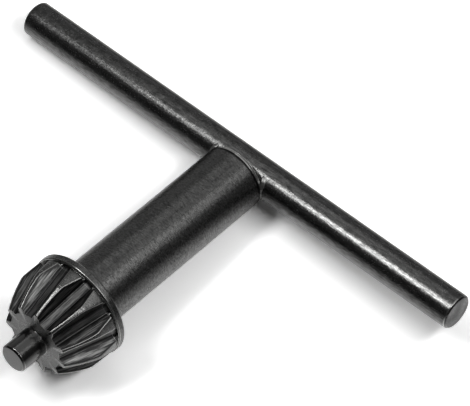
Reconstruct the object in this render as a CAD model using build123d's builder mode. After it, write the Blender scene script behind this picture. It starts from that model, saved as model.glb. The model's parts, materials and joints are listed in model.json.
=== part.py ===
# Drill chuck key for a 13 mm keyed chuck: a turned and milled key body with a pilot, a bevel
# pinion and a plain shank, and a round cross bar welded across the flat end of the shank.
# The key lies as it comes to rest, with the floor at Z = 0: on the heel of the pinion's ring,
# on the rim of the shank's end and on the end of the longer arm of the bar.
import os
from math import asin, atan, atan2, cos, hypot, radians, sin, tan

from build123d import *

os.makedirs("parts", exist_ok=True)

# Pilot pin, turned on the nose of the key
pilot_dia = 5.9
pilot_length = 5.9
pilot_chamfer = 0.35

# Bevel pinion: stations run along the key's axis, from the ring towards the pilot
teeth = 11
tooth_phase = 2.2  # degrees from straight above the axis to the nearest tooth, towards +X
front_dia = 15.1  # across the small ends of the teeth
head_dia = 21.4  # across the belt, the round stretch behind the cone
cone_length = 6.6
belt_length = 4.0
root_dia = 12.2  # across the bottoms of the tooth spaces, at the front face
root_angle = 18.0  # between a space's bottom and the key's axis
space_floor = 1.7  # flat at the bottom of a tooth space
space_angle = 80.0  # between the two flanks of a space
space_fillet = 0.4

# Ring that closes the tooth spaces behind, with a narrow groove between it and the teeth
ring_dia = 21.7
ring_thickness = 1.6
ring_chamfer = 0.25
groove_width = 0.5
groove_depth = 0.5  # below the belt

# Shank
shank_dia = 13.5
shank_length = 42.7
shank_chamfer = 0.3  # at the end that takes the bar

# Cross bar
bar_dia = 7.3
bar_length = 109.0
bar_offset = 2.0  # how far the bar's middle lies off the shank's axis, towards -X
bar_chamfer = 0.35

# Weld between the shank's flat end and the bar
weld_sink = 0.6  # how deep the bar is fused into the shank's end
weld_radius = 1.0  # of the hollow face of the bead

# Stations along the key's axis, counted from the bar's axis towards the pilot
shank_end = bar_dia / 2 - weld_sink
ring_back = shank_end + shank_length
ring_front = ring_back + ring_thickness
belt_back = ring_front + groove_width
cone_back = belt_back + belt_length
front_face = cone_back + cone_length
pilot_tip = front_face + pilot_length
long_arm = bar_length / 2 + bar_offset
short_arm = bar_length / 2 - bar_offset

# Resting pose: the ring is wider than the shank, so the key's axis drops towards the bar, and
# the key then rolls about its axis until the longer arm of the bar meets the floor
heel = ring_back + ring_chamfer
toe = shank_end + shank_chamfer
pitch = atan((ring_dia - shank_dia) / 2 / (heel - toe))
axis_height = shank_dia / 2 * cos(pitch) - toe * sin(pitch)
arm = long_arm - bar_chamfer
drop = asin(axis_height / hypot(arm, bar_dia / 2)) - atan2(bar_dia / 2, arm)
roll = asin(sin(drop) / cos(pitch))
key_axis = Vector(0, -cos(pitch), sin(pitch))
bar_axis = Vector(cos(roll), sin(pitch) * sin(roll), cos(pitch) * sin(roll))

# Each outermost rim as its centre, its radius and the axis it turns about
rims = [
    (key_axis * pilot_tip, pilot_dia / 2 - pilot_chamfer, key_axis),
    (key_axis * (pilot_tip - pilot_chamfer), pilot_dia / 2, key_axis),
    (bar_axis * -long_arm, bar_dia / 2 - bar_chamfer, bar_axis),
    (bar_axis * -arm, bar_dia / 2, bar_axis),
    (bar_axis * short_arm, bar_dia / 2 - bar_chamfer, bar_axis),
    (bar_axis * (short_arm - bar_chamfer), bar_dia / 2, bar_axis),
]


# How far the rims reach along a direction, from the point where the two axes cross
def reach(direction):
    return max(
        centre.dot(direction) + radius * (1 - axis.dot(direction) ** 2) ** 0.5
        for centre, radius, axis in rims
    )


# The middle of the whole key lies over the origin
crossing = Vector(
    (reach(Vector(-1, 0, 0)) - reach(Vector(1, 0, 0))) / 2,
    (reach(Vector(0, -1, 0)) - reach(Vector(0, 1, 0))) / 2,
    axis_height,
)
key = Plane(origin=crossing, x_dir=bar_axis, z_dir=key_axis)  # Z towards the pilot
turned = Plane(origin=crossing, x_dir=key.z_dir, z_dir=-key.x_dir)  # X station, Y radius
crossways = Plane(origin=crossing, x_dir=-key.y_dir, z_dir=key.x_dir)  # Z along the bar
spindle = Axis(crossing, key.z_dir)


# Milling cutter's path through one tooth space, above the axis of the key: its flat bottom
# climbs from the front face to the ring, parallel to the root cone
cut_start = front_face + space_floor
cut_radius = root_dia / 2 - (cut_start - front_face) * tan(radians(root_angle))
root_line = Vector(0, sin(radians(root_angle)), -cos(radians(root_angle)))
cut_plane = Plane(origin=(0, cut_radius, cut_start), x_dir=(-1, 0, 0), z_dir=root_line)
cut_length = (cut_start - ring_back) / cos(radians(root_angle))
cut_height = head_dia / 2
with BuildPart() as tooth_space:
    with BuildSketch(cut_plane):
        opening = space_floor + 2 * cut_height * tan(radians(space_angle / 2))
        with BuildLine():
            Polyline(
                (-space_floor / 2, 0),
                (space_floor / 2, 0),
                (opening / 2, cut_height),
                (-opening / 2, cut_height),
                close=True,
            )
        make_face()
        floor_corners = vertices().group_by(Axis.Y)[0]
        fillet(floor_corners, radius=space_fillet)
    extrude(amount=cut_length)


# Key body: the toothed head, then the ring, the shank and the pilot on the same axis
with BuildPart(key) as key_body:
    with BuildSketch(turned):
        with BuildLine():
            Polyline(
                (ring_back, 0),
                (ring_back, head_dia / 2 - groove_depth),
                (belt_back, head_dia / 2 - groove_depth),
                (belt_back, head_dia / 2),
                (cone_back, head_dia / 2),
                (front_face, front_dia / 2),
                (front_face, 0),
                close=True,
            )
        make_face()
    revolve(axis=spindle)
    with PolarLocations(0, teeth, start_angle=-tooth_phase - 180 / teeth):
        add(tooth_space.part, mode=Mode.SUBTRACT)
    with BuildSketch(turned):
        with BuildLine():
            Polyline(
                (shank_end, 0),
                (shank_end, shank_dia / 2 - shank_chamfer),
                (toe, shank_dia / 2),
                (ring_back, shank_dia / 2),
                (ring_back, ring_dia / 2 - ring_chamfer),
                (ring_back + ring_chamfer, ring_dia / 2),
                (ring_front - ring_chamfer, ring_dia / 2),
                (ring_front, ring_dia / 2 - ring_chamfer),
                (ring_front, pilot_dia / 2),
                (pilot_tip - pilot_chamfer, pilot_dia / 2),
                (pilot_tip, pilot_dia / 2 - pilot_chamfer),
                (pilot_tip, 0),
                close=True,
            )
        make_face()
    revolve(axis=spindle)
    # the seat of the bar, melted into the flat end
    with BuildSketch(crossways):
        Circle(bar_dia / 2)
    extrude(amount=shank_dia, both=True, mode=Mode.SUBTRACT)
key_body.part.label = "key_body"


# Cross bar: plain drawn rod with both ends chamfered
with BuildPart(crossways) as cross_bar:
    with BuildSketch(crossways.offset(-long_arm)):
        Circle(bar_dia / 2)
    extrude(amount=bar_length)
    bar_ends = edges().filter_by(GeomType.CIRCLE)
    chamfer(bar_ends, length=bar_chamfer)
cross_bar.part.label = "cross_bar"


# Weld beads: a hollow fillet along each of the two lines where the flat end meets the bar, above
# and below; its arc is tangent to the end and to the bar, and the bead stops at the chamfer
fillet_reach = bar_dia / 2 + weld_radius
fillet_station = shank_end - weld_radius
fillet_height = (fillet_reach**2 - fillet_station**2) ** 0.5
bar_touch = bar_dia / 2 / fillet_reach
for side, name in ((1, "upper_weld"), (-1, "lower_weld")):
    with BuildPart(key) as weld:
        with BuildSketch(turned):
            with BuildLine():
                Polyline(
                    (shank_end, side * (bar_dia**2 / 4 - shank_end**2) ** 0.5),
                    (shank_end, side * fillet_height),
                    (fillet_station, side * fillet_height),
                    (fillet_station * bar_touch, side * fillet_height * bar_touch),
                    close=True,
                )
            make_face()
            Circle(bar_dia / 2, mode=Mode.SUBTRACT)
            with Locations((fillet_station, side * fillet_height)):
                Circle(weld_radius, mode=Mode.SUBTRACT)
        extrude(amount=shank_dia, both=True)
        with BuildSketch(key):
            Circle(shank_dia / 2 - shank_chamfer)
        extrude(amount=shank_end, mode=Mode.INTERSECT)
    weld.part.label = name
    export_step(weld.part, f"parts/{name}.step")


export_step(key_body.part, "parts/key_body.step")
export_step(cross_bar.part, "parts/cross_bar.step")
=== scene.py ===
# Drill chuck key in black-oxide steel, lying on a white sheet. The imported model gives the place,
# the direction and the outline of every piece; the pieces made here stand for its four nodes and
# carry the finer surface: rounded edges, weld beads, tool marks and wear, with painted shade in the
# corners of the tooth spaces and a painted highlight on the side beads.
import json
import math
import bpy
import numpy as np
from mathutils import Matrix


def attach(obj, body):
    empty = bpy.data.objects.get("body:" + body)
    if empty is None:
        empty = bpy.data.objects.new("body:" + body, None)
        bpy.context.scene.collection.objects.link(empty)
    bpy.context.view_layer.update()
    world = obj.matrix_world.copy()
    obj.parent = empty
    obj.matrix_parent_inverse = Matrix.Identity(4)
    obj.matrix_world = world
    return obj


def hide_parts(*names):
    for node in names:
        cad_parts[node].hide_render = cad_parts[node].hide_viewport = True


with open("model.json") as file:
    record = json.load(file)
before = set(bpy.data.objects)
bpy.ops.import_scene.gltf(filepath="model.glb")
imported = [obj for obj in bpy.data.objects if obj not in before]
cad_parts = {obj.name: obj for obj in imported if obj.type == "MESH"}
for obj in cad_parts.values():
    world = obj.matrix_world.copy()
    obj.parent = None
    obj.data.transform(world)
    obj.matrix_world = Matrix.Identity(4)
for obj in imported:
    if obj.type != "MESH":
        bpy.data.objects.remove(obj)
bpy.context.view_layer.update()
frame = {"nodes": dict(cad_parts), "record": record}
mm = 0.001  # the dictionaries below hold millimetres and degrees, the scene is in metres
hair = 0.01  # mm, keeps two rows of points apart
arcRows = 5  # rows of points across a rounded edge
noiseRange = {"From Min": 0.3, "From Max": 0.7}  # nearly all of a noise's values lie here
print("frame loaded:", sorted(frame["nodes"]))


# Centres of a rod's two flat ends: the means of the vertices that lie furthest along its length.
def rodEnds(node, endDepth=0.2):
    mesh = frame["nodes"][node].data
    flat = np.empty(len(mesh.vertices) * 3)
    mesh.vertices.foreach_get("co", flat)
    points = np.unique(flat.reshape(-1, 3).round(8), axis=0)
    along = np.linalg.svd(points - points.mean(0), full_matrices=False)[2][0]
    along = along * np.sign(along[0])  # towards +X
    reach = points @ along
    left = points[reach < reach.min() + endDepth * mm].mean(0)
    right = points[reach > reach.max() - endDepth * mm].mean(0)
    return left, right


pilotMount = next(m for m in frame["record"]["mounts"] if m["name"] == "pilot")
keyAxis = np.array(pilotMount["axis"])  # from the bar towards the pilot
keyAxis = keyAxis / np.linalg.norm(keyAxis)
barLeft, barRight = rodEnds("cross_bar")
barAxis = (barRight - barLeft) / np.linalg.norm(barRight - barLeft)
keyUp = np.cross(keyAxis, barAxis)
# the two axes cross where the pilot's axis comes nearest to the bar's
crossing = barLeft + barAxis * ((np.array(pilotMount["pos_m"]) - barLeft) @ barAxis)
keyFrame = np.array([barAxis, keyUp, keyAxis])  # its rows turn key numbers into world ones
keyTurn = Matrix(keyFrame.T.tolist()).to_euler()
print("axes cross at", (crossing / mm).round(3))


# Key numbers in mm (along the bar, up, station towards the pilot) to world metres.
def toWorld(across, up, station):
    local = np.stack(np.broadcast_arrays(across, up, station), axis=-1)
    return crossing + local * mm @ keyFrame


# Values of a grid, one per vertex: of the first and the last row only the first is kept, for there
# the grid closes in one point.
def perVertex(values):
    rest = values.shape[2:]
    return np.concatenate([values[0, :1], values[1:-1].reshape(-1, *rest), values[-1, :1]])


# Mesh from a grid of points, rows by columns. The columns close on themselves, and triangles fan
# out from the one point of the first row and of the last. Attributes are grids too.
def gridMesh(name, grid, **attributes):
    rows, columns = grid.shape[:2]
    index = np.arange((rows - 2) * columns).reshape(rows - 2, columns) + 1
    beside = np.roll(index, -1, 1)
    quads = np.stack([index[:-1], beside[:-1], beside[1:], index[1:]], -1).reshape(-1, 4)
    last = np.full(columns, (rows - 2) * columns + 1)
    fans = np.concatenate([np.stack([0 * last, beside[0], index[0]], -1),
                           np.stack([index[-1], beside[-1], last], -1)])
    mesh = bpy.data.meshes.new(name)
    mesh.from_pydata(perVertex(grid).tolist(), [], quads.tolist() + fans.tolist())
    mesh.polygons.foreach_set("use_smooth", np.ones(len(mesh.polygons), dtype=bool))
    for key, values in attributes.items():
        values = perVertex(np.broadcast_to(values, grid.shape[:2] + values.shape[2:]))
        kind, field = ("FLOAT_VECTOR", "vector") if values.ndim == 2 else ("FLOAT", "value")
        layer = mesh.attributes.new(key, kind, "POINT")
        layer.data.foreach_set(field, values.astype(np.float32).ravel())
    return mesh


# Links a finished piece to the scene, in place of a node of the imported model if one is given.
def addPiece(mesh, material, node=None):
    piece = bpy.data.objects.new(mesh.name, mesh)
    bpy.context.collection.objects.link(piece)
    mesh.materials.append(material)
    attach(piece, "root")
    if node:
        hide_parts(node)
    print("piece", piece.name, len(mesh.vertices), "vertices")


# Quadratic curve from start to end, drawn towards middle; t runs from 0 to 1.
def curve(start, middle, end, t):
    return (1 - t) ** 2 * start + 2 * t * (1 - t) * middle + t ** 2 * end


# Profile to carry round an axis, from corners (station, radius) or (station, radius, edge,
# wear): a corner with an edge becomes a small arc, worn most in its middle.
def roundedProfile(corners):
    rows, wearAndHighlight = [], []
    for i, (station, radius, *rounding) in enumerate(corners):
        here = np.array([station, radius])
        if not rounding:
            rows.append(here)
            wearAndHighlight.append(0.0)
            continue
        edge, wear = rounding
        before = np.array(corners[i - 1][:2]) - here
        after = np.array(corners[i + 1][:2]) - here
        before = here + before / np.linalg.norm(before) * edge
        after = here + after / np.linalg.norm(after) * edge
        for t in np.linspace(0, 1, arcRows):
            rows.append(curve(before, here, after, t))
            wearAndHighlight.append(wear * math.sin(math.pi * t))
    return np.array(rows), np.array(wearAndHighlight)


# sRGB hex to the linear numbers a shader takes.
def linearColour(text):
    part = np.array([int(text[i:i + 2], 16) for i in (1, 3, 5)]) / 255
    part = np.where(part <= 0.04045, part / 12.92, ((part + 0.055) / 1.055) ** 2.4)
    return tuple(part.tolist()) + (1.0,)


# Adds a node: settings are its properties, inputs its sockets by name or number; an input given
# as another node's output is linked, anything else is written on the socket.
def addNode(tree, kind, inputs=None, **settings):
    node = tree.nodes.new(kind)
    for name, value in settings.items():
        setattr(node, name, value)
    for name, value in (inputs or {}).items():
        if isinstance(value, bpy.types.NodeSocket):
            tree.links.new(value, node.inputs[name])
        else:
            node.inputs[name].default_value = value
    return node


def newMaterial(name):
    material = bpy.data.materials.new(name)
    material.use_nodes = True
    material.node_tree.nodes.clear()
    return material, material.node_tree


oxideLook = {
    "oxide": "#8a8a89",  # black oxide over steel, a metal's own reflectance
    "oxideDark": "#2c2c2c",  # in the grooves between tool marks
    "wearAndHighlight": "#d2d2d0",  # rubbed-through edges; painted highlight on the side beads' tops
    "blotch": 3.5,  # mm, cloudiness of the bath
    "blotchShare": 0.2,  # how much of the film's colour it changes
    "grain": 0.35,  # mm, drawn about twice as coarse as real so that it shows
    "grainGloss": 0.05,  # how far it moves the roughness up and down
}


# Black oxide on machined steel: the bath leaves a dark, slightly cloudy satin film; the tool
# marks under it break up the reflections, and its edges are rubbed brighter. The same bright
# colour is a painted highlight on the upper ends of the side beads. marks(tree, local) gives
# the heights in mm that belong to how this surface was made, and where it came out pale. The
# darkening attribute takes from that paleness, as a darker film and as painted shade in the
# corners of the tooth spaces; rougher adds to the roughness.
def blackOxide(name, roughness, wearAndHighlightRoughness, grainDepth, marks):
    look = oxideLook
    material, tree = newMaterial(name)
    place = addNode(tree, "ShaderNodeTexCoord").outputs["Object"]
    local = addNode(tree, "ShaderNodeMapping",
                    {"Vector": place, "Location": crossing.tolist(), "Rotation": keyTurn,
                     "Scale": (mm, mm, mm)}, vector_type="TEXTURE").outputs["Vector"]
    blotch = addNode(tree, "ShaderNodeTexNoise",
                     {"Vector": local, "Scale": 1 / look["blotch"], "Detail": 4.0,
                      "Roughness": 0.6}).outputs["Fac"]
    grain = addNode(tree, "ShaderNodeTexNoise",
                    {"Vector": local, "Scale": 1 / look["grain"], "Detail": 3.0,
                     "Roughness": 0.65}).outputs["Fac"]
    wearAndHighlight = addNode(tree, "ShaderNodeAttribute", attribute_name="edgeWear").outputs["Fac"]
    soot = addNode(tree, "ShaderNodeAttribute", attribute_name="soot").outputs["Fac"]
    height, pale = marks(tree, local)
    paleLessDark = addNode(tree, "ShaderNodeMath", {0: pale, 1: soot}, operation="SUBTRACT")
    cloudy = addNode(tree, "ShaderNodeMath", {0: blotch, 1: look["blotchShare"],
                                              2: paleLessDark.outputs["Value"]},
                     operation="MULTIPLY_ADD")
    tone = addNode(tree, "ShaderNodeMath", {0: cloudy.outputs["Value"],
                                            1: look["blotchShare"] / 2},
                   operation="SUBTRACT", use_clamp=True)
    film = addNode(tree, "ShaderNodeMix",
                   {"Factor": tone.outputs["Value"], "A": linearColour(look["oxideDark"]),
                    "B": linearColour(look["oxide"])}, data_type="RGBA")
    colour = addNode(tree, "ShaderNodeMix",
                     {"Factor": wearAndHighlight, "A": film.outputs["Result"],
                      "B": linearColour(look["wearAndHighlight"])}, data_type="RGBA")
    dull = addNode(tree, "ShaderNodeMapRange",
                   {"Value": grain, **noiseRange, "To Min": roughness - look["grainGloss"],
                    "To Max": roughness + look["grainGloss"]}).outputs["Result"]
    rougher = addNode(tree, "ShaderNodeAttribute", attribute_name="rougher").outputs["Fac"]
    duller = addNode(tree, "ShaderNodeMath", {0: dull, 1: rougher}, operation="ADD")
    gloss = addNode(tree, "ShaderNodeMix", {"Factor": wearAndHighlight, "A": duller.outputs["Value"],
                                            "B": wearAndHighlightRoughness})
    relief = addNode(tree, "ShaderNodeMath", {0: grain, 1: grainDepth, 2: height},
                     operation="MULTIPLY_ADD")
    bumpShare = addNode(tree, "ShaderNodeMath", {0: 1.0, 1: wearAndHighlight}, operation="SUBTRACT")
    bump = addNode(tree, "ShaderNodeBump", {"Height": relief.outputs["Value"], "Distance": mm,
                                            "Strength": bumpShare.outputs["Value"]})
    steel = addNode(tree, "ShaderNodeBsdfPrincipled",
                    {"Metallic": 1.0, "Base Color": colour.outputs["Result"],
                     "Roughness": gloss.outputs["Result"], "Normal": bump.outputs["Normal"]})
    addNode(tree, "ShaderNodeOutputMaterial", {"Surface": steel.outputs["BSDF"]})
    return material


keyLook = {
    "teeth": 11,
    "toothPhase": 2.2,  # degrees from straight up to the nearest tooth, towards +X
    "stations": {"shankEnd": 3.05, "ringBack": 45.75, "ringFront": 47.35, "beltBack": 47.85,
                 "coneBack": 51.85, "frontFace": 58.45, "pilotTip": 64.35},
    "pilot": 5.9, "front": 15.1, "belt": 21.4, "ring": 21.7, "shank": 13.5,  # diameters
    "pilotChamfer": 0.35, "ringChamfer": 0.25, "shankChamfer": 0.3,
    "root": 12.2, "rootAngle": 18.0, "spaceFloor": 1.7, "spaceAngle": 80.0, "spaceFillet": 0.4,
    "grooveDepth": 0.5,
    "edge": 0.18,  # how far the tumbled edges of the teeth are rounded over
    "frontEdge": 0.06, "pilotEdge": 0.06, "ringEdge": 0.08, "toeEdge": 0.28,
    "fillet": 0.15,  # in the turned corners
    "coneBend": 0.35,  # length of the soft bend between the cone and the belt
    "coneCrown": 0.25,
    "flankCrown": 0.1,  # the cutter leaves the sides of a space slightly full
    "lathe": (0.2, 0.7),  # width and length of the lathe tool's marks, twice as coarse as real
    "latheDepth": 0.022,
    "lathePale": (0.15, 0.85),  # oxide colour from the bottom of a mark to its crest
    "mill": (0.3, 4.5),  # the same for the milling cutter, along the tooth spaces
    "millDepth": 0.04,
    "millPale": (-0.15, 1.0),
    "millPatch": 7.0,  # steps in the pattern from one space to the next, so that none repeats
    "millRoughness": 0.07,  # more than on the shank
    "floorCut": 0.6,  # how much of the cutter's look the bottom of a space has
    "landRoughness": -0.04,
    "pilotRoughness": -0.14,
    "wear": 0.5,  # how far the oxide is gone on the edges of the teeth
    "tipWear": 0.5,  # share of it round the pilot's flat tip
    "pilotWear": 1.8,  # on the rim of the pilot
    "ringWear": 1.7,  # on the front edge of the ring
    "beltWear": 0.14,  # on the belt, which the chuck's teeth rub
    "cutterLine": 0.15,  # where the cutter's corner leaves a line along each space
    "rimWear": 1.0,  # how far the oxide is gone on the rim of the shank's end
    "sootLine": (0.42, 0.5, 0.8, 0.95),  # dark line beside it: starts, full, full, ends
    "tipDark": 0.15,  # how much darker the film is on the pilot's tip
    "cornerShade": 0.7,  # and, as painted shade, in the corners of a space
    "sootReach": (0.9, 0.6),  # how far that painted shade goes up from the fillet and down from the land
}


# Section of the toothed head at each station: distance from the key's axis and angle, for one
# pitch from the middle of a space to the middle of the next. Half of it is the space's flat
# bottom at the root height, a fillet, a flank that is straight but for its crown, a rounded
# corner and the land on the outside circle; the other half is its mirror image. inset shrinks
# the outline by that much.
def toothSections(station, outside, inset, look):
    slope = math.radians(look["rootAngle"])
    cutAngle = math.radians(look["spaceAngle"] / 2)
    lean = math.tan(cutAngle) * math.cos(slope)
    station, outside, inset = (v[:, None] for v in (station, outside, inset))
    outside = outside - inset
    climbing = (look["stations"]["frontFace"] - station) * math.tan(slope)
    rootHeight = look["root"] / 2 - inset + climbing
    half = look["spaceFloor"] / 2 + inset * (math.hypot(1, lean) - lean)
    turn = math.pi / 2 - cutAngle
    tangent = look["spaceFillet"] * math.tan(turn / 2)
    floorX = (half - tangent) * np.linspace(0, 1, 5)[:-1]
    floorY = rootHeight + 0 * floorX
    bend = np.linspace(0, turn, 6)
    filletX = half - tangent + look["spaceFillet"] * np.sin(bend)
    filletY = rootHeight + look["spaceFillet"] * (1 - np.cos(bend)) / math.cos(slope)
    # the sharp corner: where the flank meets the outside circle
    across = half * lean + rootHeight
    rise = half ** 2 + rootHeight ** 2 - outside ** 2
    climb = (np.sqrt(across ** 2 - (1 + lean ** 2) * rise) - across) / (1 + lean ** 2)
    cornerX, cornerY = half + lean * climb, rootHeight + climb
    flankLow = filletY[:, -1:] - rootHeight
    flankHigh = climb - look["edge"] / math.hypot(1, lean)
    flank = flankLow + (flankHigh - flankLow) * np.linspace(0, 1, 8)[1:]
    share = flank / climb
    flankX = half + lean * flank - look["flankCrown"] * 4 * share * (1 - share)
    flankY = rootHeight + flank
    landStart = np.arctan2(cornerX, cornerY) + look["edge"] / outside
    t = np.linspace(0, 1, 6)[1:]
    roundX = curve(flankX[:, -1:], cornerX, outside * np.sin(landStart), t)
    roundY = curve(flankY[:, -1:], cornerY, outside * np.cos(landStart), t)
    land = landStart + (math.pi / look["teeth"] - landStart) * np.linspace(0, 1, 7)[1:]
    x = np.hstack([floorX, filletX, flankX, roundX, outside * np.sin(land)])
    y = np.hstack([floorY, filletY, flankY, roundY, outside * np.cos(land)])
    along = np.hypot(np.diff(x, prepend=0), np.diff(y, prepend=y[:, :1])).cumsum(1)

    # values over the bottom, the fillet, the flank, the rounded corner and the land
    def acrossHalf(*values):
        bands = (floorX, filletX, flankX, roundX, land)
        return np.hstack([value + 0 * band for value, band in zip(values, bands)])

    lineAt = np.arange(len(bend)) == 2
    wear = acrossHalf(0, look["cutterLine"] * lineAt, 0, np.sin(math.pi * t), 0)
    milled = acrossHalf(look["floorCut"], 1, 1, t < 0.5, 0)
    # painted shade: darker film in the corners of the space, on the floor by the fillet, in the
    # fillet, low on the flank and just under the land's edge
    low = np.clip(1 - (flank - flankLow) / look["sootReach"][0], 0, 1) ** 2
    high = np.clip(1 - (flank[:, -1:] - flank) / look["sootReach"][1], 0, 1)
    soot = acrossHalf((floorX / half) ** 4, 1, np.maximum(low, high), t < 0.3, 0)
    soot = soot * look["cornerShade"]

    # the mirror image goes in front, without the middle of the space twice
    def mirrored(values, sign=1):
        return np.hstack([sign * values[:, :0:-1], values[:, :-1]])

    x, along = mirrored(x, -1), mirrored(along, -1)
    y, wear, milled, soot = (mirrored(values) for values in (y, wear, milled, soot))
    return np.arctan2(x, y), np.hypot(x, y), wear, milled, soot, along


# Repeats the angles of one pitch around the axis; the first space's middle lies half a pitch
# after the tooth nearest to straight up.
def aroundAxis(angle, look):
    pitch = 2 * math.pi / look["teeth"]
    turns = math.radians(look["toothPhase"]) + pitch / 2 + pitch * np.arange(look["teeth"])
    return (angle[:, None, :] + turns[None, :, None]).reshape(angle.shape[0], -1)


# Rows of the toothed head from its front face back into the groove: their stations, the radius
# outside the teeth and how far the outline is shrunk there. The cone is crowned by a parabola
# and goes over into the belt in a bend, a parabola that is tangent to both. Also marks, as a
# half wave, the rounded edges at the front and behind the belt.
def headRows(look):
    at, edge, bend = look["stations"], look["frontEdge"], look["coneBend"]
    face, coneBack, beltBack = at["frontFace"], at["coneBack"], at["beltBack"]
    frontR, beltR = look["front"] / 2, look["belt"] / 2
    grooveR = beltR - look["grooveDepth"]
    t = np.linspace(0, 1, arcRows)
    onCone = np.linspace(0, 1, 16)[1:-1]
    onBelt = np.linspace(0, 1, 8)[1:-1]
    station = np.concatenate([face - edge * t ** 2,
                              face - edge - 2 * hair - (face - coneBack - bend) * onCone,
                              coneBack + bend * (1 - 2 * np.linspace(0, 1, 9)),
                              coneBack - bend - (coneBack - beltBack - bend - edge) * onBelt])
    cone = np.clip((face - station) / (face - coneBack), 0, 1)
    outside = frontR + (beltR - frontR) * cone + look["coneCrown"] * 4 * cone * (1 - cone)
    near = (station - coneBack) / bend
    coneSlope = (beltR - frontR) / (coneBack - face)
    outside = np.where(np.abs(near) < 1, beltR + coneSlope * bend * (1 + near) ** 2 / 4, outside)
    groove = [beltBack - hair, beltBack - 3 * hair, at["ringFront"] + 2 * hair]
    station = np.concatenate([station, beltBack + edge * (1 - t) ** 2, groove])
    outside = np.concatenate([outside, beltR - edge * t ** 2,
                              [grooveR + 2 * hair, grooveR, grooveR]])
    inset, endWear = 0 * station, 0 * station
    inset[:arcRows] = edge * (1 - t) ** 2
    endWear[:arcRows] = np.sin(math.pi * t)
    endWear[-arcRows - len(groove):-len(groove)] = np.sin(math.pi * t)
    return station, outside, inset, endWear


# Profiles of what is turned, so the same all round: the pilot with the front face, and behind
# the head the ring, the shank and its flat end. Corners without an edge only divide a stretch.
def turnedProfiles(look):
    at, fillet, ringEdge = look["stations"], look["fillet"], look["ringEdge"]
    tip, face, end = at["pilotTip"], at["frontFace"], at["shankEnd"]
    ringFront, ringBack = at["ringFront"], at["ringBack"]
    pilotR, ringR, shankR = look["pilot"] / 2, look["ring"] / 2, look["shank"] / 2
    chamfer = look["pilotChamfer"]
    front = roundedProfile([
        (tip, 0), (tip, pilotR * 0.5),
        (tip, pilotR - chamfer, look["pilotEdge"], look["tipWear"]),
        (tip - chamfer, pilotR, look["pilotEdge"], look["pilotWear"]),
        (tip - 1.2, pilotR), (face + 0.9, pilotR),
        (face, pilotR, fillet, 0), (face, pilotR + 1.2)])
    chamfer = look["ringChamfer"]
    toe = end + look["shankChamfer"]
    toeR = shankR - look["shankChamfer"]
    bare, darkFrom, darkTo, plain = (toe + reach for reach in look["sootLine"])
    back = roundedProfile([
        (ringFront, look["belt"] / 2 - look["grooveDepth"] - 0.05),
        (ringFront, ringR - chamfer, ringEdge, look["ringWear"]),
        (ringFront - chamfer, ringR, ringEdge, look["ringWear"]),
        (ringBack + chamfer, ringR, ringEdge, 1), (ringBack, ringR - chamfer, ringEdge, 1),
        (ringBack, shankR + 0.9), (ringBack, shankR, fillet, 1), (ringBack - 0.6, shankR),
        (ringBack - 14, shankR), (ringBack - 28, shankR),
        (plain, shankR), (darkTo, shankR), (darkFrom, shankR), (bare, shankR),
        (toe, shankR, look["toeEdge"], 1), (end, toeR, fillet, 1),
        (end, shankR - 0.9), (end, shankR * 0.5), (end, 0)])
    # the rim is rubbed bare all the way round to the flat end
    rows, wear = back
    onRim = (rows[:, 0] <= bare) & (rows[:, 1] > toeR - fillet / 3)
    wear[onRim] = look["rimWear"] / look["wear"]
    # rows of a narrow band of darker film round the shank, just behind the rim
    sooty = (rows[:, 0] >= darkFrom) & (rows[:, 0] <= darkTo)
    return front, back, sooty


def makeKeyBody(look):
    at = look["stations"]
    head, outside, inset, endWear = headRows(look)
    angle, radius, wear, milled, soot, along = toothSections(head, outside, inset, look)
    wear = np.maximum(wear, endWear[:, None])
    onBelt = (head < at["coneBack"] - look["coneBend"]) & (head > at["beltBack"] + look["frontEdge"])
    rubbed = onBelt[:, None] & (milled == 0)
    wear = np.where(rubbed, np.maximum(wear, look["beltWear"]), wear)
    soot[0] = 0  # no painted shade on the front face's row
    # the cutter's streaks run along each space, and every space has a patch of its own
    patch = np.repeat(np.arange(look["teeth"]) * look["millPatch"], along.shape[1])
    angle = aroundAxis(angle, look)
    radius, wear, milled, soot, along = (np.tile(values, (1, look["teeth"]))
                                         for values in (radius, wear, milled, soot, along))
    wide, length = look["mill"]
    streaks = np.stack(np.broadcast_arrays(along / wide, head[:, None] / length, patch), -1)
    (front, frontWear), (back, backWear), sooty = turnedProfiles(look)

    # values per row in front, a grid on the head and values per row behind it, as one grid
    def joined(ahead, grid, behind):
        ahead, behind = (np.repeat(v[:, None], grid.shape[1], 1) for v in (ahead, behind))
        return np.concatenate([ahead, grid, behind])

    # the turned stretches take the angles of the head's first and last row
    angle = np.concatenate([angle[:1].repeat(len(front), 0), angle,
                            angle[-1:].repeat(len(back), 0)])
    station = joined(front[:, 0], head[:, None] + 0 * radius, back[:, 0])
    radius = joined(front[:, 1], radius, back[:, 1])
    wearAndHighlight = np.minimum(joined(frontWear, wear, backWear) * look["wear"], 1)
    cut = joined(0 * frontWear, milled, 0 * backWear)
    onTip = front[:, 0] > at["pilotTip"] - look["pilotChamfer"] / 2
    dark = joined(onTip * look["tipDark"], soot, sooty * 1.0)
    roughHead = milled * look["millRoughness"] + (milled == 0) * look["landRoughness"]
    onPilot = front[:, 0] > at["frontFace"]
    rougher = joined(onPilot * look["pilotRoughness"], roughHead, 0 * backWear)
    # turned marks run round the axis and follow station minus radius, on cylinders and faces;
    # the pilot is polished
    wide, length = look["lathe"]
    marks = np.stack([radius * np.sin(angle) / length, radius * np.cos(angle) / length,
                      (station - radius) / wide], -1)
    rows = slice(len(front), len(front) + len(head))
    marks[rows] = np.where(milled[..., None] > 0.5, streaks, marks[rows])
    marks[:len(front)][front[:, 0] > at["frontFace"] + look["fillet"]] = 0
    grid = toWorld(radius * np.sin(angle), radius * np.cos(angle), station)
    return gridMesh("keyBody", grid, edgeWear=wearAndHighlight, milled=cut, marks=marks, rougher=rougher,
                    soot=dark)


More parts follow.
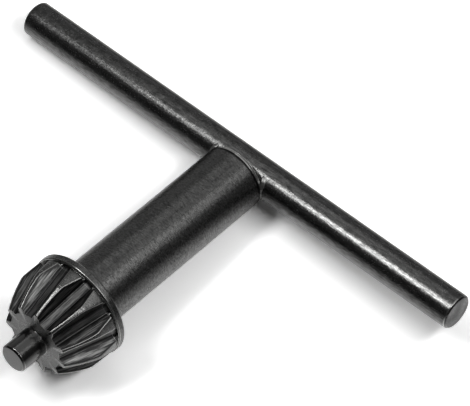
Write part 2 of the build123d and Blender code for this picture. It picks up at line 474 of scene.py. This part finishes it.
# Marks of the lathe and of the milling cutter, from the attribute that counts them.
def toolMarks(tree, local):
    place = addNode(tree, "ShaderNodeAttribute", attribute_name="marks").outputs["Vector"]
    lines = addNode(tree, "ShaderNodeTexNoise", {"Vector": place, "Scale": 1.0, "Detail": 3.0,
                                                 "Roughness": 0.65}).outputs["Fac"]
    milled = addNode(tree, "ShaderNodeAttribute", attribute_name="milled").outputs["Fac"]
    depth = addNode(tree, "ShaderNodeMix", {"Factor": milled, "A": keyLook["latheDepth"],
                                            "B": keyLook["millDepth"]}).outputs["Result"]
    height = addNode(tree, "ShaderNodeMath", {0: lines, 1: depth}, operation="MULTIPLY")
    turnedPale, milledPale = (
        addNode(tree, "ShaderNodeMapRange", {"Value": lines, **noiseRange, "To Min": low,
                                             "To Max": high}, clamp=False).outputs["Result"]
        for low, high in (keyLook["lathePale"], keyLook["millPale"]))
    pale = addNode(tree, "ShaderNodeMix", {"Factor": milled, "A": turnedPale, "B": milledPale})
    return height.outputs["Value"], pale.outputs["Result"]


keySteel = blackOxide("turnedBlackOxideSteel", 0.29, 0.24, 0.014, toolMarks)
addPiece(makeKeyBody(keyLook), keySteel, "key_body")


barLook = {
    "diameter": 7.3,
    "chamfer": 0.35,
    "edge": 0.16,
    "draw": (0.3, 1.5),  # width and length of a drawing line along the rod
    "drawDepth": 0.01,
    "wave": 0.6,  # unevenness of the drawn surface
    "waveDepth": 0.02,
    "pale": (0.2, 0.8),  # oxide colour from the bottom of a drawing line to its crest
    "wear": 0.65,
    "endWear": 0.2,  # share of it on the rim of the end face, inside the chamfer
    "endSoot": (0.34, 0.2),  # darker film on the sheared end faces, and how much it varies
}


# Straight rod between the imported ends: a profile of radius against length, carried round. The
# film on the end faces lies in soft crooked bands: a slow wave, bent by another across it.
def makeCrossBar(look):
    left, right = ((end - crossing) @ barAxis / mm for end in (barLeft, barRight))
    radius, chamfer = look["diameter"] / 2, look["chamfer"]
    inner, outer = (look["edge"], look["endWear"]), (look["edge"], 1)
    face = [radius * share for share in (0, 0.15, 0.3, 0.45, 0.6, 0.75)]
    rows, wear = roundedProfile(
        [(left, r) for r in face]
        + [(left, radius - chamfer, *inner), (left + chamfer, radius, *outer)]
        + [(left + (right - left) * t, radius) for t in (0.03, 0.25, 0.5, 0.75, 0.97)]
        + [(right - chamfer, radius, *outer), (right, radius - chamfer, *inner)]
        + [(right, r) for r in face[::-1]])
    angle = np.linspace(0, -2 * math.pi, 97)[:-1]
    x = rows[:, :1]
    y, z = rows[:, 1:] * np.cos(angle), rows[:, 1:] * np.sin(angle)
    mean, swing = look["endSoot"]
    bands = mean + swing * np.sin(1.1 * y + 0.6 * z + 1.5 * np.sin(0.9 * z - 0.5 * y + 1))
    soot = np.where((x < left + chamfer / 2) | (x > right - chamfer / 2), bands, 0)
    return gridMesh("crossBar", toWorld(x, y, z), edgeWear=wear[:, None] * look["wear"],
                    soot=soot)


# Drawing lines: long along the rod, fine around it.
def drawnMarks(tree, local):
    wide, length = barLook["draw"]
    stretched = addNode(tree, "ShaderNodeMapping", {"Vector": local,
                                                    "Scale": (1 / length, 1 / wide, 1 / wide)})
    lines = addNode(tree, "ShaderNodeTexNoise", {"Vector": stretched.outputs["Vector"],
                                                 "Scale": 1.0, "Detail": 2.0}).outputs["Fac"]
    pale = addNode(tree, "ShaderNodeMapRange", {"Value": lines, **noiseRange,
                                                "To Min": barLook["pale"][0],
                                                "To Max": barLook["pale"][1]}, clamp=False)
    scores = addNode(tree, "ShaderNodeMath", {0: lines, 1: barLook["drawDepth"]},
                     operation="MULTIPLY").outputs["Value"]
    waves = addNode(tree, "ShaderNodeTexNoise", {"Vector": local, "Scale": 1 / barLook["wave"],
                                                 "Detail": 1.0}).outputs["Fac"]
    height = addNode(tree, "ShaderNodeMath", {0: waves, 1: barLook["waveDepth"], 2: scores},
                     operation="MULTIPLY_ADD").outputs["Value"]
    return height, pale.outputs["Result"]


barSteel = blackOxide("drawnBlackOxideSteel", 0.24, 0.22, 0.007, drawnMarks)
addPiece(makeCrossBar(barLook), barSteel, "cross_bar")


weldLook = {
    "endHeight": 4.17,  # where the bead meets the shank's end, from the bar's axis
    "touch": 0.457,  # where it meets the bar, in radians from straight up
    "pull": (1.35, 0.35),  # its hollow face is drawn to this far up and out from the corner
    "sink": 0.25,  # how deep the bead's hidden side lies in the steel
    "ripple": 0.7,  # spacing of the ripples along the bead
    "rippleDepth": 0.05,
    "rippleDrift": (0.6, 1.7),  # how far and how fast their spacing wanders
    "rippleWay": (0.8, 0.6),  # they stand out up, and away from the shank
    "end": 6.35,  # the bead ends here, inside the shank's rim
    "runOut": (3.4, 1.4, 0.45),  # from here, over this length, it leaves this much of the bar
    "lump": 0.7,  # size of the uneven lumps in the metal
    "lumpDepth": 0.12,
    "tuck": (0.05, 0.1),  # of its hidden edges, at the shank's end and at the bar
}
sideLook = {
    "reach": 3.2,  # how far up and down the bead round the side of the joint goes
    "legs": (0.95, 0.4),  # its leg along the bar, and the other one's share of it
    "bulge": 1.1,  # 1 is a flat face, more is a full one
    "swell": (0.1, 3.0),  # how much and how fast its size varies
    "taper": 0.35,  # the lower, the blunter its ends
    "thin": 0.2,  # share of its size that it keeps below
    "above": (0.8, 2.2),  # up from here, over this height, size and painted highlight grow to full
    "wear": 0.5,  # painted highlight: its upper end gets the bright colour of worn edges
    "sink": 0.25,
    "edgeSink": 0.05,
    "overlap": 0.1,
}


# One more row at each end of a band of points, all in its middle, so that the band closes.
def closeBand(grid):
    first, last = (row.mean(1, keepdims=True).repeat(grid.shape[1], 1)
                   for row in (grid[:1], grid[-1:]))
    return np.concatenate([first, grid, last])


# Bead along the bar: a hollow face from the shank's end to the bar, shrinking to nothing where
# it reaches the rim, and a hidden back sunk in both steels.
def makeWeld(name, side, look):
    r = barLook["diameter"] / 2
    seat = keyLook["stations"]["shankEnd"]
    rim = keyLook["shank"] / 2 - keyLook["shankChamfer"]
    corner = math.sqrt(r ** 2 - seat ** 2)
    x = look["end"] * np.sin(np.linspace(-math.pi / 2, math.pi / 2, 61))[:, None]
    full = np.sqrt(np.maximum(rim ** 2 - x ** 2, 0)) - corner
    grow = np.clip(full / (look["endHeight"] - corner), 0, 1)
    grow = grow * (2 - grow)
    start, length, free = look["runOut"]
    spread = grow * (1 - free * np.clip((np.abs(x) - start) / length, 0, 1))
    far, fast = look["rippleDrift"]
    ripple = np.sin(2 * math.pi * x / look["ripple"] + far * np.sin(x * fast + side))
    t = np.linspace(0, 1, 13)
    # from the end plane to the bar, drawn to the corner between them
    topY, topZ = corner + np.minimum(grow * (look["endHeight"] - corner), full), seat
    cornerAngle = math.atan2(seat, corner)
    low = cornerAngle - spread * (cornerAngle - look["touch"])
    lowY, lowZ = r * np.cos(low), r * np.sin(low)
    pullY, pullZ = corner + spread * look["pull"][0], seat - spread * look["pull"][1]
    swell = look["rippleDepth"] * ripple * grow * np.sin(math.pi * t)
    faceY = curve(topY, pullY, lowY, t) + swell * look["rippleWay"][0]
    faceZ = curve(topZ, pullZ, lowZ, t) - swell * look["rippleWay"][1]
    sink, (endTuck, barTuck) = look["sink"], look["tuck"]
    hideY = np.hstack([lowY - sink, corner - sink + 0 * x, topY - endTuck])
    hideZ = np.hstack([lowZ + barTuck, seat + sink + 0 * x, topZ + sink + 0 * x])
    y, z = side * np.hstack([faceY, hideY]), np.hstack([faceZ, hideZ])
    grid = toWorld(x + 0 * y, y, z)
    return gridMesh(name, closeBand(grid[::-1] if side > 0 else grid))


# Bead round the side of the joint, where the bar leaves the shank's rim: it fills the corner
# between the bar and the shank's side, from one bead along the bar to the other.
def makeSideBead(name, side, look):
    r = barLook["diameter"] / 2
    reach = math.asin(look["reach"] / r)
    turn = reach * np.sin(np.linspace(-math.pi / 2, math.pi / 2, 41))[:, None]
    y, z = r * np.sin(turn), r * np.cos(turn)
    x = np.sqrt(keyLook["shank"] ** 2 / 4 - y ** 2)
    grow = np.cos(turn / reach * math.pi / 2) ** look["taper"]
    much, fast = look["swell"]
    barLeg, shankShare = look["legs"]
    start, height = look["above"]
    above = np.clip((y - start) / height, 0, 1)
    size = barLeg * grow * (1 + much * np.sin(fast * y + side))
    size = size * (look["thin"] + (1 - look["thin"]) * above)
    # above, where the shank's end stands clear of the bar, the bead reaches to its rim
    rimGap = keyLook["stations"]["shankEnd"] + look["overlap"] - z
    leg = np.maximum(size * shankShare, rimGap * grow)
    t = np.linspace(0, 1, 11)
    # from the shank's side to the bar
    faceX = x + size * t ** 2 + look["bulge"] * size * t * (1 - t)
    faceZ = z + leg * (1 - t) ** 2 + look["bulge"] * leg * t * (1 - t)
    faceX[:, :1] -= look["edgeSink"]
    faceZ[:, -1:] -= look["edgeSink"]
    sunkX, sunkZ = x - look["sink"], z - look["sink"]
    hideX = np.hstack([faceX[:, -1:] - look["overlap"], sunkX, sunkX])
    hideZ = np.hstack([sunkZ, sunkZ, faceZ[:, :1] - look["overlap"]])
    across = side * np.hstack([faceX, hideX])
    grid = toWorld(across, y + 0 * across, np.hstack([faceZ, hideZ]))
    # painted highlight: the bright worn colour grows towards the bead's upper end, where it catches
    # the light; below it stays dark
    wear = look["wear"] * np.pad(above, ((1, 1), (0, 0)), mode="edge")
    if side > 0:
        grid, wear = grid[::-1], wear[::-1]
    return gridMesh(name, closeBand(grid), edgeWear=wear)


# Uneven lumps of weld metal, paler where they stand proud.
def weldMarks(tree, local):
    lumps = addNode(tree, "ShaderNodeTexNoise", {"Vector": local, "Scale": 1 / weldLook["lump"],
                                                 "Detail": 3.0}).outputs["Fac"]
    height = addNode(tree, "ShaderNodeMath", {0: lumps, 1: weldLook["lumpDepth"]},
                     operation="MULTIPLY")
    return height.outputs["Value"], lumps


weldSteel = blackOxide("blackenedWeldSteel", 0.36, 0.3, 0.01, weldMarks)
for upward, node, name in ((1, "upper_weld", "upperWeld"), (-1, "lower_weld", "lowerWeld")):
    addPiece(makeWeld(name, upward, weldLook), weldSteel, node)
for outward, name in ((1, "rightBead"), (-1, "leftBead")):
    addPiece(makeSideBead(name, outward, sideLook), weldSteel)


sheetLook = {
    "colour": "#ffffff",
    "half": 3000.0,
    "steep": 1.7,  # the sheet in the steel, straight down; it fades towards the horizon
    "exposure": 1.72,  # what the camera sees of it, so that it comes out white
}


# White paper under the key, matt, brighter to the camera than to the steel.
def laySheet(look):
    half = look["half"] * mm
    mesh = bpy.data.meshes.new("whiteSheet")
    mesh.from_pydata([(-half, -half, 0), (half, -half, 0), (half, half, 0), (-half, half, 0)],
                     [], [(0, 1, 2, 3)])
    floor = bpy.data.objects.new("whiteSheet", mesh)
    bpy.context.collection.objects.link(floor)
    paper, tree = newMaterial("mattWhitePaper")
    ray = addNode(tree, "ShaderNodeLightPath")
    facing = addNode(tree, "ShaderNodeLayerWeight", {"Blend": 0.5}).outputs["Facing"]
    upright = addNode(tree, "ShaderNodeMath", {0: 1.0, 1: facing}, operation="SUBTRACT")
    fading = addNode(tree, "ShaderNodeMath", {0: upright.outputs["Value"], 1: look["steep"]},
                     operation="MULTIPLY")
    seen = addNode(tree, "ShaderNodeMix", {"Factor": ray.outputs["Is Camera Ray"], "A": 1.0,
                                           "B": look["exposure"]})
    level = addNode(tree, "ShaderNodeMix", {"Factor": ray.outputs["Is Glossy Ray"],
                                            "A": seen.outputs["Result"],
                                            "B": fading.outputs["Value"]})
    colour = addNode(tree, "ShaderNodeVectorMath", {0: linearColour(look["colour"])[:3],
                                                    "Scale": level.outputs["Result"]},
                     operation="SCALE")
    white = addNode(tree, "ShaderNodeBsdfDiffuse", {"Color": colour.outputs["Vector"]})
    addNode(tree, "ShaderNodeOutputMaterial", {"Surface": white.outputs["BSDF"]})
    mesh.materials.append(paper)


laySheet(sheetLook)

roomLook = {
    "dark": 0.045,  # what the steel sees around the lamps, in front and on the right
    "pale": 0.27,  # and behind on the left, where the room is lighter
    "paleSide": (-0.7, 0.68, -0.25),
    "turnsPale": (0.3, 0.9),  # share of that side in a direction, from dark to pale
    "sky": 0.03,  # what the sheet gets from all round
}


# World: white to the camera, a dim room with one paler side to the steel.
def paintRoom(look):
    world = bpy.data.worlds.new("studio")
    bpy.context.scene.world = world
    world.use_nodes = True
    tree = world.node_tree
    tree.nodes.clear()
    path = addNode(tree, "ShaderNodeLightPath")
    way = addNode(tree, "ShaderNodeTexCoord").outputs["Generated"]
    towards = addNode(tree, "ShaderNodeVectorMath", {0: way, 1: look["paleSide"]},
                      operation="DOT_PRODUCT").outputs["Value"]
    room = addNode(tree, "ShaderNodeMapRange", {"Value": towards,
                                                "From Min": look["turnsPale"][0],
                                                "From Max": look["turnsPale"][1],
                                                "To Min": look["dark"],
                                                "To Max": look["pale"]})
    level = addNode(tree, "ShaderNodeMix", {"Factor": path.outputs["Is Glossy Ray"],
                                            "A": look["sky"], "B": room.outputs["Result"]})
    dim = addNode(tree, "ShaderNodeBackground", {"Color": (1, 1, 1, 1),
                                                 "Strength": level.outputs["Result"]})
    backdrop = addNode(tree, "ShaderNodeBackground", {"Color": (1, 1, 1, 1), "Strength": 1.0})
    sky = addNode(tree, "ShaderNodeMixShader", {0: path.outputs["Is Camera Ray"],
                                                1: dim.outputs["Background"],
                                                2: backdrop.outputs["Background"]})
    addNode(tree, "ShaderNodeOutputWorld", {"Surface": sky.outputs["Shader"]})


paintRoom(roomLook)

# Flat lamps overhead, facing down: the slopes x/z and y/z between which the key sees each one,
# its brightness, and what it is for. Steel lamps only show in the steel, sheet lamps only light.
lampHeight = 600.0
lampLook = {
    "panel": ((-0.50, 0.80), (0.0, 1.1), 0.37, "both"),
    "leftTube": ((-0.62, -0.36), (-0.05, 1.1), 0.8, "both"),
    "rightLamp": ((0.58, 0.80), (-0.20, 0.73), 9.5, "both"),
    "overhead": ((-0.38, 0.0), (0.02, 0.44), 2.6, "both"),
    "keyLamp": ((-0.52, -0.26), (-0.61, -0.15), 10.0, "both"),
    "bridge": ((-0.26, 0.58), (-0.5, -0.1), 1.0, "steel"),
    "flankLamp": ((0.92, 1.25), (0.1, 0.5), 2.4, "steel"),
    "keyFill": ((-0.55, -0.15), (-0.75, -0.2), 2.9, "sheet"),
    "rightFill": ((0.5, 0.9), (0.0, 0.8), 1.6, "sheet"),
    "overheadFill": ((-0.3, 0.5), (-0.1, 0.6), 1.3, "sheet"),
}


def addLamp(name, slopesX, slopesY, level, use):
    height = lampHeight * mm
    width, depth = (height * (s[1] - s[0]) for s in (slopesX, slopesY))
    light = bpy.data.lights.new(name, "AREA")
    light.shape = "RECTANGLE"
    light.size, light.size_y = width, depth
    light.energy = level * math.pi * width * depth
    lamp = bpy.data.objects.new(name, light)
    lamp.location = (height * sum(slopesX) / 2, height * sum(slopesY) / 2, height)
    lamp.visible_camera = False
    lamp.visible_glossy = use != "sheet"
    lamp.visible_diffuse = use != "steel"
    bpy.context.collection.objects.link(lamp)


for name, values in lampLook.items():
    addLamp(name, *values)

cameraLook = {
    "lens": 275.745,
    "sensor": 36.0,
    "target": (3.1416, 25.4739, 0.0),
    "distance": 693.863,
    "azimuth": 42.245,  # degrees from the front towards the right
    "elevation": 55.849,
    "clip": (50.0, 20000.0),
}


def setCamera(look):
    azimuth, elevation = math.radians(look["azimuth"]), math.radians(look["elevation"])
    back = np.array([math.sin(azimuth) * math.cos(elevation),
                     -math.cos(azimuth) * math.cos(elevation), math.sin(elevation)])
    right = np.array([math.cos(azimuth), math.sin(azimuth), 0.0])
    lens = bpy.data.cameras.new("camera")
    lens.lens = look["lens"]
    lens.sensor_width = look["sensor"]
    lens.sensor_fit = "HORIZONTAL"
    lens.clip_start, lens.clip_end = (reach * mm for reach in look["clip"])
    camera = bpy.data.objects.new("camera", lens)
    pose = np.eye(4)
    pose[:3, :3] = np.stack([right, np.cross(back, right), back], 1)
    pose[:3, 3] = (np.array(look["target"]) + back * look["distance"]) * mm
    camera.matrix_world = Matrix(pose.tolist())
    bpy.context.collection.objects.link(camera)
    bpy.context.scene.camera = camera


setCamera(cameraLook)
bpy.context.scene.view_settings.view_transform = "Standard"
print("sheet, studio and camera set")
